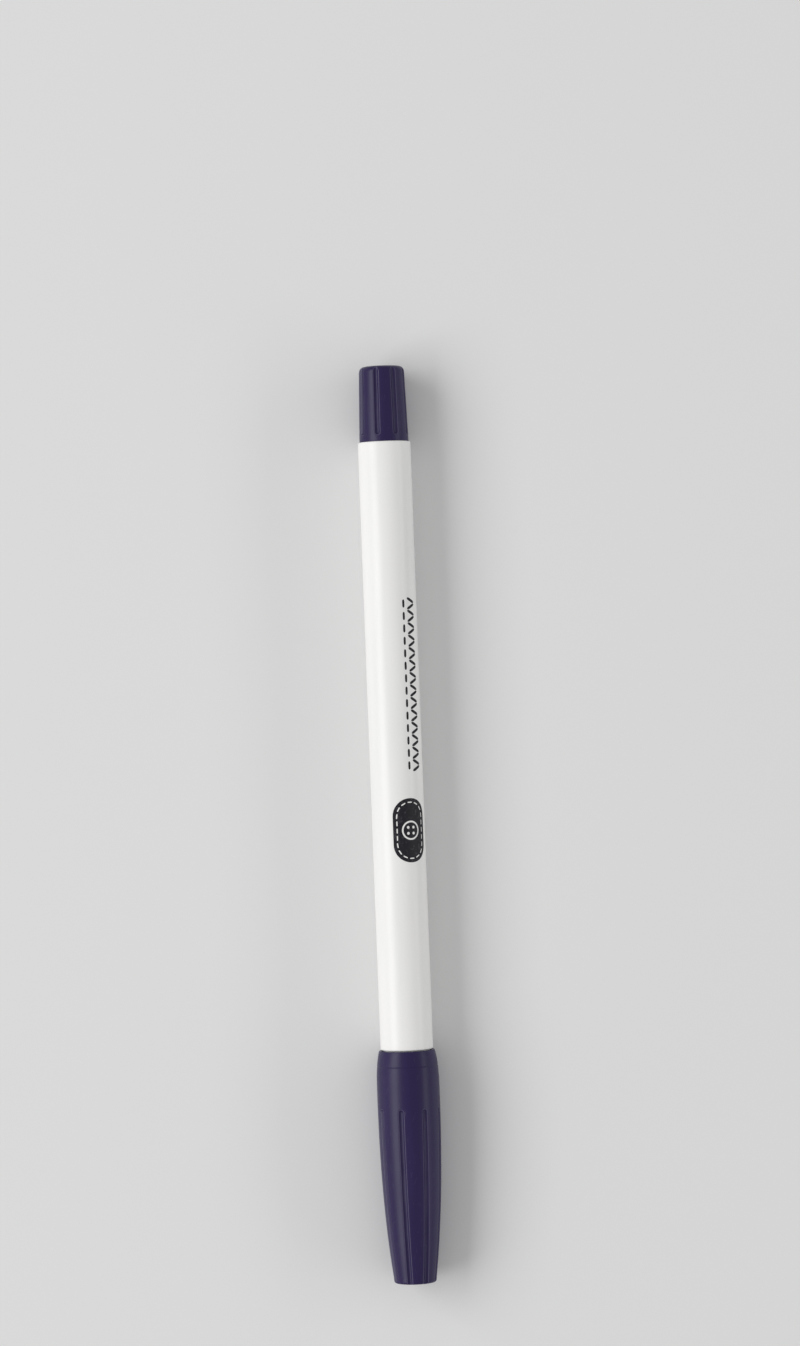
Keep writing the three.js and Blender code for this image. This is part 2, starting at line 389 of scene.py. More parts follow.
class Graph:
    """A node tree that is written in expressions."""

    def __init__(self, tree):
        self.tree = tree
        tree.nodes.clear()

    def node(self, kind, settings=None, sockets=None, out=0):
        """Adds a node, with its settings first and then its sockets' values or links. Gives one output."""
        made = self.tree.nodes.new(kind)
        for name, value in (settings or {}).items():
            setattr(made, name, value)
        for name, value in (sockets or {}).items():
            for part in value if isinstance(value, list) else [value]:
                if isinstance(part, Wire):
                    self.tree.links.new(part.socket, made.inputs[name])
                else:
                    made.inputs[name].default_value = part
        return Wire(self, made.outputs[out]) if made.outputs else None

    def sum(self, operation, *values):
        return self.node("ShaderNodeMath", {"operation": operation}, dict(enumerate(values)))


# Outlines, as (radius, station) points

def bend(start, pull, end, steps=EDGE_STEPS):
    """Points on a smooth bend between two points, drawn towards a third."""
    made = []
    for i in range(steps + 1):
        t = i / steps
        shares = ((1 - t) ** 2, 2 * t * (1 - t), t**2)
        made.append(tuple(
            sum(share * value for share, value in zip(shares, values)) for values in zip(start, pull, end)
        ))
    return made


def edged(corners):
    """An outline of corners, where one that holds a third number is rounded by that much."""
    made = []
    for i, corner in enumerate(corners):
        if len(corner) == 2:
            made.append(corner)
            continue
        here = Vector(corner[:2])
        before = Vector(corners[i - 1][:2]) - here
        after = Vector(corners[(i + 1) % len(corners)][:2]) - here
        start, end = here + before.normalized() * corner[2], here + after.normalized() * corner[2]
        made += bend(start, here, end, max(EDGE_STEPS, math.ceil(corner[2] / FINE_STEP)))
    return made


def parted(outline, longest, span=None):
    """The same outline in steps no longer than a size, all along or only between two stations."""
    made = [outline[0]]
    for before, after in zip(outline, outline[1:]):
        low, high = sorted((before[1], after[1]))
        wanted = span is None or (high > span[0] and low < span[1])
        count = max(1, math.ceil(math.dist(before, after) / longest)) if wanted else 1
        for i in range(1, count + 1):
            made.append(tuple(a + (b - a) * i / count for a, b in zip(before, after)))
    return made


def near(station):
    return station - FINE_REACH, station + FINE_REACH


def scored(outline, station, width, depth):
    """The same outline with a fine round line cut in it."""
    made = []
    for radius, place in outline:
        share = (place - station) / (width / 2)
        made.append((radius - depth * max(0, 1 - share**2), place))
    return made


def click_ring(radius, height, station):
    """A low round ridge. Its bend rises half as far as the point that draws it."""
    rear = (radius, station - RING_WIDTH / 2)
    front = (radius, station + RING_WIDTH / 2)
    return bend(rear, (radius + 2 * height, station), front, 2 * EDGE_STEPS)


def gate_mark(end, outwards):
    """A gate's mark in a flat end, from the axis to the flat. The end faces outwards, +1 or -1."""
    floor = end - outwards * GATE_DEPTH
    return edged([
        (0, floor + outwards * GATE_STUB_HEIGHT),
        (GATE_STUB_RADIUS, floor + outwards * GATE_STUB_HEIGHT, GATE_STUB_HEIGHT / 2),
        (GATE_STUB_RADIUS, floor),
        (GATE_RADIUS - GATE_DEPTH, floor, GATE_DEPTH / 2),
        (GATE_RADIUS, end, GATE_DEPTH / 2),
        (GATE_RADIUS + GATE_DEPTH, end),
    ])


def barrel_outline():
    return edged([
        (BORE_RADIUS, BARREL_REAR, EDGE_BREAK),
        (BARREL_RADIUS, BARREL_REAR, BARREL_ROUND),
        (BARREL_RADIUS, 0, BARREL_ROUND),
        (BORE_RADIUS, 0, EDGE_BREAK),
    ])


def nose_flare():
    """The neck's rounded edge and the hollow bend from there into the cone."""
    edge = Vector((NECK_RADIUS, NECK_LENGTH))
    end = Vector((CONE_BASE_RADIUS, NECK_LENGTH + FLARE_LENGTH))
    cone = Vector((CONE_TIP_RADIUS, NOSE_TIP - CONE_TIP_ROUND)) - end
    pull = end - cone / cone.y * (FLARE_LENGTH - FLARE_PULL)
    start = edge.lerp(pull, FLARE_SHARE)
    rounded = bend((NECK_RADIUS, NECK_LENGTH - NECK_ROUND), edge, start)
    return rounded + bend(start, pull, end, FLARE_STEPS)[1:]


def nose_outline():
    tip = (CONE_TIP_RADIUS, NOSE_TIP - CONE_TIP_ROUND)
    return edged([
        (HOLDER_RADIUS, NOSE_REAR),
        (STUB_RADIUS, NOSE_REAR, STUB_LEAD),
        (STUB_RADIUS, 0),
        (NECK_RADIUS, 0, EDGE_BREAK),
        *click_ring(NECK_RADIUS, RING_HEIGHT, RING_STATION),
        *nose_flare(),
        *bend(tip, (CONE_TIP_RADIUS, NOSE_TIP), (CONE_END_RADIUS, NOSE_TIP), FLARE_STEPS),
        (NIB_BORE, NOSE_TIP, EDGE_BREAK),
        (NIB_BORE, NOSE_TIP - GRIP_LENGTH),
        (NIB_BORE + FUNNEL_ROOM, FUNNEL_START + FUNNEL_LENGTH),
        (HOLDER_RADIUS, FUNNEL_START),
    ])


def nib_outline():
    turns = [math.pi / 2 * i / BULLET_STEPS for i in range(BULLET_STEPS)]
    start = NIB_TIP - BULLET_LENGTH
    bullet = [(NIB_RADIUS * math.cos(t), start + BULLET_LENGTH * math.sin(t)) for t in turns]
    tail = [(0, NIB_TAIL), (NIB_RADIUS / 2, NIB_TAIL), (NIB_RADIUS, NIB_TAIL + NIB_TAIL_TAPER)]
    return parted([*tail, *bullet, (0, NIB_TIP)], FELT_STEP)


def core_outline():
    return edged([
        (0, CORE_REAR),
        (CORE_RADIUS, CORE_REAR, CORE_ROUND),
        (CORE_RADIUS, CORE_FRONT, CORE_ROUND),
        (NIB_BORE, CORE_FRONT),
        (NIB_BORE, NIB_TAIL),
        (0, NIB_TAIL - SEAT_GAP),
    ])


def sleeve_outline():
    inside = SLEEVE_RADIUS - FILM_WALL
    rear = [(inside, CORE_REAR), (SLEEVE_RADIUS, CORE_REAR)]
    return [*rear, (SLEEVE_RADIUS, SLEEVE_FRONT), (inside, SLEEVE_FRONT)]


def plug_outlines():
    """The plug's grooved outside, from the middle of its end to the barrel, and the rest of it. The
    point where they meet is only in the rest."""
    outside = edged([
        *gate_mark(PLUG_END, -1),
        (PLUG_END_RADIUS, PLUG_END, PLUG_ROUND),
        (PLUG_RADIUS, BARREL_REAR, EDGE_BREAK),
        (STUB_RADIUS, BARREL_REAR),
    ])
    rest = edged([
        (STUB_RADIUS, BARREL_REAR),
        (STUB_RADIUS, PLUG_FRONT, STUB_LEAD),
        (HOLDER_RADIUS, PLUG_FRONT),
        (HOLDER_RADIUS, PLUG_SEAT),
        (PLUG_HOLLOW_RADIUS, PLUG_SEAT),
        (PLUG_HOLLOW_RADIUS, PLUG_END + PLUG_END_WALL, PLUG_ROUND),
        (0, PLUG_END + PLUG_END_WALL),
    ])
    outside = parted(parted(outside, SIDE_STEP), FINE_STEP, near(PLUG_GROOVE_START))
    return parted(outside, FINE_STEP, (PLUG_END, PLUG_END + PLUG_ROUND))[:-1], rest


def cap_outlines():
    """The cap's inside, from the cavity's end to the rim, and its grooved outside."""
    inside = [
        (0, LINER_END + SEAT_GAP),
        (CAVITY_END_RADIUS, LINER_END + SEAT_GAP),
        (CAVITY_MOUTH_RADIUS, COLLAR_END + SEAT_GAP),
        (CAP_BORE, COLLAR_END + SEAT_GAP),
        *reversed(click_ring(CAP_BORE, BEAD_RADIUS - CAP_BORE, BEAD_STATION)),
        (CAP_BORE, CAP_RIM + CAP_LEAD),
    ]
    swell = bend(
        (CAP_RIM_RADIUS, CAP_RIM), (BULGE_RADIUS, RIM_PULL), (BULGE_RADIUS, BULGE_STATION), TAPER_STEPS
    )
    taper = bend(
        (BULGE_RADIUS, TAPER_START),
        (BULGE_RADIUS, CAP_END - TAPER_PULL),
        (CAP_END_RADIUS, CAP_END - CAP_END_ROUND),
        TAPER_STEPS,
    )
    outside = edged([
        (CAP_BORE + CAP_LEAD, CAP_RIM),
        (CAP_RIM_RADIUS, CAP_RIM, EDGE_BREAK),
        *swell[1:],
        *taper[:-1],
        (CAP_END_RADIUS, CAP_END, CAP_END_ROUND),
        *reversed(gate_mark(CAP_END, 1)),
    ])
    outside = parted(parted(outside, SIDE_STEP), FINE_STEP, near(CAP_GROOVE_START + GROOVE_WIDTH / 2))
    outside = parted(outside, FINE_STEP, (CAP_END - CAP_END_ROUND, CAP_END))
    outside = parted(outside, FINE_STEP / 2, near(LINE_STATION))
    return inside, scored(outside, LINE_STATION, LINE_WIDTH, LINE_DEPTH)


def liner_outline():
    """The cup, whose mouth closes on the nose's flare."""
    seat = min(r for r, station in nose_flare() if station < LINER_MOUTH) + SEAT_GAP
    mouth = CAVITY_MOUTH_RADIUS - PRESS_GAP
    end = CAVITY_END_RADIUS - PRESS_GAP
    floor = LINER_END - LINER_WALL
    return edged([
        (0, floor),
        (end - LINER_WALL, floor, LINER_LEAD),
        (mouth - LINER_WALL, COLLAR_END),
        (seat, LINER_MOUTH, LINER_LEAD),
        (LINER_RADIUS, LINER_MOUTH, EDGE_BREAK),
        (LINER_RADIUS, COLLAR_END),
        (mouth, COLLAR_END),
        (end, LINER_END, EDGE_BREAK),
        (0, LINER_END),
    ])


# Meshes

def turned(name, outline, columns=COLUMNS):
    """Turns an outline round the pen's axis. It closes on itself unless it starts on the axis, and the
    piece's outside runs towards the tip."""
    points, rings = [], []
    for radius, station in outline:
        count = 1 if radius < ON_AXIS else columns
        rings.append([len(points) + i % count for i in range(columns + 1)])
        for i in range(count):
            turn = 2 * math.pi * i / count
            across, up = radius * math.sin(turn), radius * math.cos(turn)
            points.append((RIM_X + station * MM, across * MM, AXIS_Z + up * MM))
    faces = []
    fronts = rings[1:] if outline[0][0] < ON_AXIS else rings[1:] + rings[:1]
    for rear, front in zip(rings, fronts):
        for i in range(columns):
            corners = (rear[i], front[i], front[i + 1], rear[i + 1])
            faces.append(tuple(dict.fromkeys(corners)))
    mesh = bpy.data.meshes.new(name)
    mesh.from_pydata(points, [], faces)
    return mesh


def skinned(mesh, outline, skins, columns):
    """Notes on each point of a turned mesh the radius of the skin that grooves are cut from."""
    values = []
    for (radius, _), skin in zip(outline, skins):
        values += [skin * MM] * (1 if radius < ON_AXIS else columns)
    mesh.attributes.new("skin", "FLOAT", "POINT").data.foreach_set("value", values)
    return mesh


def new_object(name, data):
    made = bpy.data.objects.new(name, data)
    bpy.context.scene.collection.objects.link(made)
    return made


def run_nodes(mesh, *steps):
    """Runs node trees on a mesh, each with its inputs' values, and gives the result as a plain mesh
    without empty material slots."""
    worker = new_object(mesh.name, mesh)
    for tree, values in steps:
        modifier = worker.modifiers.new(tree.name, "NODES")
        modifier.node_group = tree
        for name, value in values.items():
            modifier[tree.interface.items_tree[name].identifier] = value
    depsgraph = bpy.context.evaluated_depsgraph_get()
    made = bpy.data.meshes.new_from_object(
        worker.evaluated_get(depsgraph), preserve_all_data_layers=True, depsgraph=depsgraph
    )
    bpy.data.objects.remove(worker)
    for i in reversed(range(len(made.materials))):
        if made.materials[i] is None:
            made.materials.pop(index=i)
    return made


def add_piece(name, mesh, body, finish, slot, *nodes):
    """Adds a piece of the pen, which rides on a body, has a finish and stands for its solids."""
    if not mesh.materials:
        mesh.materials.append(finish)
    mesh.shade_smooth()
    mesh.set_sharp_from_angle(angle=SHARP_ANGLE)
    made = new_object(name, mesh)
    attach(made, body)
    if nodes:
        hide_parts(*nodes)


# Geometry Nodes

def new_tree(name, inputs):
    """A geometry tree with named inputs besides its geometry and material. Gives its graph and inputs."""
    tree = bpy.data.node_groups.new(name, "GeometryNodeTree")
    kinds = {"Geometry": "Geometry", **inputs, "Material": "Material"}
    for label, kind in kinds.items():
        tree.interface.new_socket(name=label, in_out="INPUT", socket_type="NodeSocket" + kind)
    tree.interface.new_socket(name="Result", in_out="OUTPUT", socket_type="NodeSocketGeometry")
    graph = Graph(tree)
    return graph, graph.node("NodeGroupInput")


def end_tree(graph, given, geometry):
    """Ends a tree with plain geometry in the given material."""
    plain = graph.node("GeometryNodeRealizeInstances", None, {"Geometry": geometry})
    painted = graph.node(
        "GeometryNodeSetMaterial", None, {"Geometry": plain, "Material": given.also("Material")}
    )
    graph.node("NodeGroupOutput", None, {"Result": painted})
    return graph.tree


def parts_of(graph, vector):
    """The X, Y and Z of a vector."""
    x = graph.node("ShaderNodeSeparateXYZ", None, {"Vector": vector})
    return x, x.also("Y"), x.also("Z")


def vector_of(graph, x, y, z):
    return graph.node("ShaderNodeCombineXYZ", None, {"X": x, "Y": y, "Z": z})


def groove_tree():
    """Cuts round-started grooves along a turned piece. Columns of points are first drawn to each
    groove's edges, so that these are crisp at any radius."""
    numbers = ("First turn", "Width", "Depth", "Edge round", "Start", "Run", "Axis height", "Share")
    graph, given = new_tree("grooves", {"Count": "Int", **dict.fromkeys(numbers, "Float")})
    place = graph.node("GeometryNodeInputPosition")
    x, across, up = parts_of(graph, place)
    up = up - given.also("Axis height")
    radius = (across * across + up * up).math("SQRT")
    turn = across.math("ARCTAN2", up)
    half_sector = math.pi / given.also("Count")
    offset = (turn - given.also("First turn")).math("WRAP", half_sector, 0 - half_sector)

    column = offset.math("ABSOLUTE") / half_sector
    share = given.also("Share")
    half = given.also("Width") / 2
    reach = half + given.also("Edge round")
    edge = (reach / radius.math("MAXIMUM", ON_AXIS)).math("MINIMUM", half_sector * share)
    within = (column / share).math("MINIMUM", 1) * edge
    beyond = (column - share).math("MAXIMUM", 0) / (1 - share) * (half_sector - edge)
    drawn = (within + beyond) * offset.math("SIGN")

    sideways = radius * drawn.math("SINE")
    behind = ((x - given.also("Start")) * given.also("Run")).math("MINIMUM", 0)
    hollow = given.also("Depth") * (1 - (sideways * sideways + behind * behind) / (half * half))
    depth = hollow.math("SMOOTH_MAX", 0, given.also("Edge round"))
    skin = graph.node("GeometryNodeInputNamedAttribute", {"data_type": "FLOAT"}, {"Name": "skin"})
    cut = radius.math("MINIMUM", skin - depth)

    noted = graph.node(
        "GeometryNodeStoreNamedAttribute",
        {"data_type": "FLOAT", "domain": "POINT"},
        {"Geometry": given, "Name": "groove", "Value": (radius - cut) / given.also("Depth")},
    )
    new_turn = turn - offset + drawn
    new_place = vector_of(
        graph, x, cut * new_turn.math("SINE"), cut * new_turn.math("COSINE") + given.also("Axis height")
    )
    moved = graph.node("GeometryNodeSetPosition", None, {"Geometry": noted, "Position": new_place})
    return end_tree(graph, given, moved)


def felt_tree():
    """Sinks a surface unevenly, into strands that run along the pen."""
    inputs = {"Depth": "Float", "Strand width": "Float", "Strand length": "Float"}
    graph, given = new_tree("felt", inputs)
    place = graph.node("GeometryNodeInputPosition")
    width, length = given.also("Strand width"), given.also("Strand length")
    size = vector_of(graph, length, width, width)
    stretched = graph.node("ShaderNodeVectorMath", {"operation": "DIVIDE"}, {0: place, 1: size})
    strands = graph.node("ShaderNodeTexNoise", None, {"Vector": stretched, "Scale": 1, "Detail": 1})
    normal = graph.node("GeometryNodeInputNormal")
    push = graph.node(
        "ShaderNodeVectorMath",
        {"operation": "SCALE"},
        {"Vector": normal, "Scale": (strands - 1) * given.also("Depth")},
    )
    moved = graph.node("GeometryNodeSetPosition", None, {"Geometry": given, "Offset": push})
    return end_tree(graph, given, moved)


def stitch_tree():
    """Adds a straight row of flat stitches that lean one way and the other in turn."""
    inputs = {
        "Stitches": "Int",
        "Pitch": "Float",
        "Stitch length": "Float",
        "Stitch width": "Float",
        "Lean": "Float",
        "Start": "Vector",
    }
    graph, given = new_tree("stitch_row", inputs)
    length, width = given.also("Stitch length"), given.also("Stitch width")
    blank = graph.node(
        "GeometryNodeMeshGrid",
        None,
        {"Size X": length, "Size Y": width, "Vertices X": STITCH_STEPS, "Vertices Y": STITCH_ROWS},
    )
    x, y, z = parts_of(graph, graph.node("GeometryNodeInputPosition"))
    taper = 1 - STITCH_TAPER * (x * 2 / length).math("POWER", STITCH_POWER)
    stitch = graph.node(
        "GeometryNodeSetPosition", None, {"Geometry": blank, "Position": vector_of(graph, x, y * taper, z)}
    )
    row = graph.node(
        "GeometryNodeMeshLine",
        {"mode": "OFFSET"},
        {
            "Count": given.also("Stitches"),
            "Start Location": given.also("Start"),
            "Offset": vector_of(graph, given.also("Pitch"), 0, 0),
        },
    )
    side = 1 - 2 * graph.node("GeometryNodeInputIndex").math("MODULO", 2)
    stitches = graph.node(
        "GeometryNodeInstanceOnPoints",
        None,
        {"Points": row, "Instance": stitch, "Rotation": vector_of(graph, 0, 0, side * given.also("Lean"))},
    )
    both = graph.node("GeometryNodeJoinGeometry", None, {"Geometry": [given, stitches]})
    return end_tree(graph, given, both)


def patch_tree():
    """Adds a flat round-ended patch with a border of open stitches and an open button in the middle."""
    inputs = {
        "Length": "Float",
        "Height": "Float",
        "Inset": "Float",
        "Stitches": "Int",
        "Stitch length": "Float",
        "Stitch width": "Float",
        "Button radius": "Float",
        "Ring width": "Float",
        "Hole radius": "Float",
        "Hole spacing": "Float",
        "Centre": "Vector",
    }
    graph, given = new_tree("stitched_patch", inputs)

    def box(length, height):
        sides = {"Width": length, "Height": height}
        return graph.node("GeometryNodeCurvePrimitiveQuadrilateral", None, sides)

    def stadium(length, height, steps):
        radius = height * PATCH_CORNER_SHARE
        return graph.node(
            "GeometryNodeFilletCurve",
            {"mode": "POLY"},
            {"Curve": box(length, height), "Count": steps, "Radius": radius, "Limit Radius": True},
        )

    def circle(radius, steps):
        sizes = {"Resolution": steps, "Radius": radius}
        return graph.node("GeometryNodeCurvePrimitiveCircle", None, sizes, "Curve")

    length, height = given.also("Length"), given.also("Height")
    inset = given.also("Inset") * 2
    seam = stadium(length - inset, height - inset, PATCH_CORNER_STEPS)
    seam = graph.node(
        "GeometryNodeResampleCurve", None, {"Curve": seam, "Count": given.also("Stitches")}
    )
    stitch = stadium(given.also("Stitch length"), given.also("Stitch width"), PATCH_STITCH_STEPS)
    along = graph.node("GeometryNodeInputTangent")
    facing = graph.node("FunctionNodeAlignEulerToVector", {"axis": "X"}, {"Vector": along})
    stitches = graph.node(
        "GeometryNodeInstanceOnPoints", None, {"Points": seam, "Instance": stitch, "Rotation": facing}
    )
    corners = box(given.also("Hole spacing"), given.also("Hole spacing"))
    hole = circle(given.also("Hole radius"), BUTTON_HOLE_STEPS)
    holes = graph.node("GeometryNodeInstanceOnPoints", None, {"Points": corners, "Instance": hole})
    rim = circle(given.also("Button radius"), BUTTON_STEPS)
    button = circle(given.also("Button radius") - given.also("Ring width"), BUTTON_STEPS)
    outline = stadium(length, height, PATCH_CORNER_STEPS)
    lines = graph.node(
        "GeometryNodeJoinGeometry", None, {"Geometry": [outline, stitches, rim, button, holes]}
    )
    lines = graph.node("GeometryNodeRealizeInstances", None, {"Geometry": lines})
    filled = graph.node("GeometryNodeFillCurve", {"mode": "TRIANGLES"}, {"Curve": lines})
    fine = graph.node("GeometryNodeSubdivideMesh", None, {"Mesh": filled, "Level": PATCH_LEVEL})
    placed = graph.node(
        "GeometryNodeTransform", None, {"Geometry": fine, "Translation": given.also("Centre")}
    )
    both = graph.node("GeometryNodeJoinGeometry", None, {"Geometry": [given, placed]})
    return end_tree(graph, given, both)


def wrap_tree():
    """Gives a flat print its thickness and wraps it round the pen. Flat Y is the way round."""
    inputs = dict.fromkeys(("Radius", "Sink", "Thickness", "Axis height"), "Float")
    graph, given = new_tree("wrapped_print", inputs)
    thick = graph.node(
        "GeometryNodeExtrudeMesh",
        {"mode": "FACES"},
        {"Mesh": given, "Offset Scale": given.also("Thickness"), "Individual": False},
    )
    under = graph.node("GeometryNodeFlipFaces", None, {"Mesh": given})
    closed = graph.node("GeometryNodeJoinGeometry", None, {"Geometry": [thick, under]})
    closed = graph.node("GeometryNodeMergeByDistance", None, {"Geometry": closed, "Distance": SAME_PLACE})
    x, around, lift = parts_of(graph, graph.node("GeometryNodeInputPosition"))
    turn = around / given.also("Radius")
    radius = given.also("Radius") - given.also("Sink") + lift
    place = vector_of(
        graph, x, radius * turn.math("SINE"), radius * turn.math("COSINE") + given.also("Axis height")
    )
    wrapped = graph.node("GeometryNodeSetPosition", None, {"Geometry": closed, "Position": place})
    return end_tree(graph, given, wrapped)


# Finishes

def new_finish(name):
    made = bpy.data.materials.new(name)
    made.use_nodes = True
    return made, Graph(made.node_tree)


def end_finish(graph, sockets):
    shader = graph.node("ShaderNodeBsdfPrincipled", None, sockets)
    graph.node("ShaderNodeOutputMaterial", None, {"Surface": shader})


def pen_place(graph, stretch=(1, 1, 1)):
    """A place on a piece in millimetres from the barrel's front rim, on a grid that is stretched along
    each of its axes."""
    return graph.node(
        "ShaderNodeMapping",
        {"vector_type": "TEXTURE"},
        {
            "Vector": graph.node("ShaderNodeTexCoord", None, None, "Object"),
            "Location": (RIM_X, 0, AXIS_Z),
            "Scale": Vector(stretch) * MM,
        },
    )


def cloud(graph, place, size, detail=2):
    """Soft noise from 0 to 1 in lumps of about a size."""
    return graph.node(
        "ShaderNodeTexNoise", None, {"Vector": place, "Scale": 1 / size, "Detail": detail}
    )


def fade(graph, value, span):
    """Rises smoothly from 0 to 1 while a value goes from a span's start to its end."""
    return graph.node(
        "ShaderNodeMapRange",
        {"interpolation_type": "SMOOTHSTEP"},
        {"Value": value, "From Min": span[0], "From Max": span[1]},
    )


def mixed(graph, share, first, second):
    """A colour between two, or a mix of a colour and another mix. A share of 0 gives the first."""
    sockets = {MIX_SHARE: share, MIX_FIRST: first, MIX_SECOND: second}
    return graph.node("ShaderNodeMix", {"data_type": "RGBA"}, sockets, MIX_COLOUR)


def raised(graph, height, depth):
    """The normal of a surface whose height varies from 0 to 1 over a depth in millimetres."""
    return graph.node("ShaderNodeBump", None, {"Height": height, "Distance": depth * MM})


def hairlines(graph, lean, size, cluster):
    """Short straight scuffs on the unrolled round surface, which lean from the pen's length. They lie
    where long smooth noise passes its middle, and not on surfaces that face along the pen. The noise's
    slope over a hairline keeps them all equally thin. The clusters' size also picks the noise's layer."""
    place = pen_place(graph)
    x, across, up = parts_of(graph, place)
    around = across.math("ARCTAN2", up) * BARREL_RADIUS
    along = (x * math.cos(lean) + around * math.sin(lean)) / SCUFF_STRETCH
    beside = around * math.cos(lean) - x * math.sin(lean)
    here = cloud(graph, vector_of(graph, along, beside, cluster), size, 0) - NOISE_MIDDLE
    further = cloud(graph, vector_of(graph, along, beside + HAIRLINE, cluster), size, 0) - NOISE_MIDDLE
    slope = (further - here).math("ABSOLUTE").math("MAXIMUM", LEAST_SLOPE)
    thin = 1 - fade(graph, here.math("ABSOLUTE") / slope, (0, 1))
    facing = parts_of(graph, graph.node("ShaderNodeTexCoord", None, None, "Normal"))[0]
    sides = 1 - fade(graph, facing.math("ABSOLUTE"), END_FACE_SPAN)
    return thin * sides * fade(graph, cloud(graph, place, cluster), CLUSTER_SPAN)


def moulded_plastic(name, main, streak, scuffed_and_highlight, rough, gloss_change, shine):
    """Satin moulded plastic with faint flow streaks along the pen, an uneven gloss, a fine skin and
    hairline scuffs. Grooves keep a little dust. Their edges are rubbed glossier and are painted paler,
    which is a painted highlight along each edge."""
    made, graph = new_finish(name)
    streaks = cloud(graph, pen_place(graph, FLOW_STRETCH), FLOW_SIZE, FLOW_DETAIL)
    lumps = cloud(graph, pen_place(graph), LUMP_SIZE)
    groove = graph.node("ShaderNodeAttribute", {"attribute_name": "groove"}, None, "Fac")
    # Groove edges: rubbed glossier, and painted paler as a painted highlight along each edge
    rubbed_and_highlight = fade(graph, groove, RUBBED_AND_HIGHLIGHT_START) * (1 - fade(graph, groove, RUBBED_AND_HIGHLIGHT_END))
    dusty = fade(graph, groove, DUST_START) * fade(graph, lumps, DUST_SPAN)
    scuffs = hairlines(graph, *LENGTHWISE_SCUFFS) + hairlines(graph, *SLANTING_SCUFFS)
    colour = mixed(graph, fade(graph, streaks, FLOW_SPAN) * FLOW_SHARE, main, streak)
    # Share of the paler colour: dust, scuffs and the painted highlight on groove edges
    wear_and_highlight = rubbed_and_highlight * RUBBED_AND_HIGHLIGHT_SHARE + dusty * DUST_SHARE + scuffs * SCUFF_SHARE
    rough = rough + (lumps - NOISE_MIDDLE) * gloss_change
    rough = rough + dusty * DUST_ROUGHNESS + scuffs * SCUFF_ROUGHNESS - rubbed_and_highlight * RUBBED_GLOSS
    skin = cloud(graph, pen_place(graph), SKIN_SIZE, SKIN_DETAIL)
    end_finish(graph, {
        "Base Color": mixed(graph, wear_and_highlight, colour, scuffed_and_highlight),
        "Roughness": rough,
        "Normal": raised(graph, skin - scuffs * SCUFF_DEPTH, SKIN_DEPTH),
        "Specular IOR Level": shine,
    })
    return made


def felted(name, main, strand, stretch, size, depth):
    """Fibre that runs along the pen, wet with ink, with paler dry strands."""
    made, graph = new_finish(name)
    strands = cloud(graph, pen_place(graph, stretch), size, STRAND_DETAIL)
    blotches = cloud(graph, pen_place(graph), BLOTCH_SIZE)
    pale = fade(graph, strands, STRAND_SPAN) * fade(graph, blotches, BLOTCH_SPAN)
    end_finish(graph, {
        "Base Color": mixed(graph, pale, main, strand),
        "Roughness": FELT_ROUGHNESS + strands * STRAND_ROUGHNESS,
        "Normal": raised(graph, strands, depth),
        "Sheen Weight": 0.3,
        "Sheen Roughness": 0.5,
    })
    return made


def clear_film():
    """Thin film with lengthwise creases."""
    made, graph = new_finish("clear_film")
    creases = fade(graph, cloud(graph, pen_place(graph, FILM_STRETCH), CREASE_SIZE), CREASE_SPAN)
    end_finish(graph, {
        "Base Color": mixed(graph, creases, FILM, FILM_CREASE),
        "Roughness": FILM_ROUGHNESS + creases * CREASE_ROUGHNESS,
        "Normal": raised(graph, creases, CREASE_DEPTH),
        "Alpha": 0.6,
    })
    return made


def printed_ink():
    """Pad-printed ink that is a little thin in places and grainy in its gloss."""
    made, graph = new_finish("print_ink")
    thin = fade(graph, cloud(graph, pen_place(graph), THIN_SIZE, THIN_DETAIL), THIN_SPAN)
    grain = cloud(graph, pen_place(graph), INK_GRAIN_SIZE)
    end_finish(graph, {
        "Base Color": mixed(graph, thin, INK, THIN_INK),
        "Roughness": INK_ROUGHNESS + grain * INK_GRAIN_ROUGHNESS,
        "Specular IOR Level": 0.25,
        "Normal": raised(graph, grain, INK_GRAIN_DEPTH),
    })
    return made


white_plastic = moulded_plastic(
    "white_plastic", WHITE, WHITE_STREAK, WHITE_SCUFF, rough=0.34, gloss_change=0.12, shine=0.5
)
violet_plastic = moulded_plastic(
    "violet_plastic", VIOLET, VIOLET_STREAK, VIOLET_SCUFF_AND_HIGHLIGHT, rough=0.36, gloss_change=0.14, shine=0.3
)
liner_plastic = moulded_plastic(
    "liner_plastic", WAX, WAX_STREAK, WAX_SCUFF, rough=0.5, gloss_change=0.1, shine=0.4
)
inked_felt = felted("inked_felt", INKED_FELT, INKED_STRAND, stretch=(8, 1, 1), size=0.1, depth=0.03)
soaked_fibre = felted("soaked_fibre", FIBRE, FIBRE_STRAND, stretch=(30, 1, 1), size=0.12, depth=0.04)
print_ink = printed_ink()


# Pieces

grooves = groove_tree()
felt = felt_tree()
stitch_row = stitch_tree()
stitched_patch = patch_tree()
wrapped_print = wrap_tree()


def add_turned(name, outline, body, finish, slot, node, columns=COLUMNS):
    """Adds a turned piece with a plain skin."""
    add_piece(name, turned(name, outline, columns), body, finish, slot, node)


def add_grooved(name, outline, skins, body, node, start, run):
    """Adds a turned piece with grooves all round, which start at a station and run one way, +1 or -1."""
    mesh = skinned(turned(name, outline, GROOVED_COLUMNS), outline, skins, GROOVED_COLUMNS)
    cut = run_nodes(mesh, (grooves, {
        "Count": GROOVES,
        "First turn": GROOVE_TURN,
        "Width": GROOVE_WIDTH * MM,
        "Depth": GROOVE_DEPTH * MM,
        "Edge round": GROOVE_EDGE_ROUND * MM,
        "Start": RIM_X + (start + run * GROOVE_WIDTH / 2) * MM,
        "Run": float(run),
        "Axis height": AXIS_Z,
        "Share": GROOVE_COLUMN_SHARE,
        "Material": violet_plastic,
    }))
    add_piece(name, cut, body, violet_plastic, "violet_plastic", node)


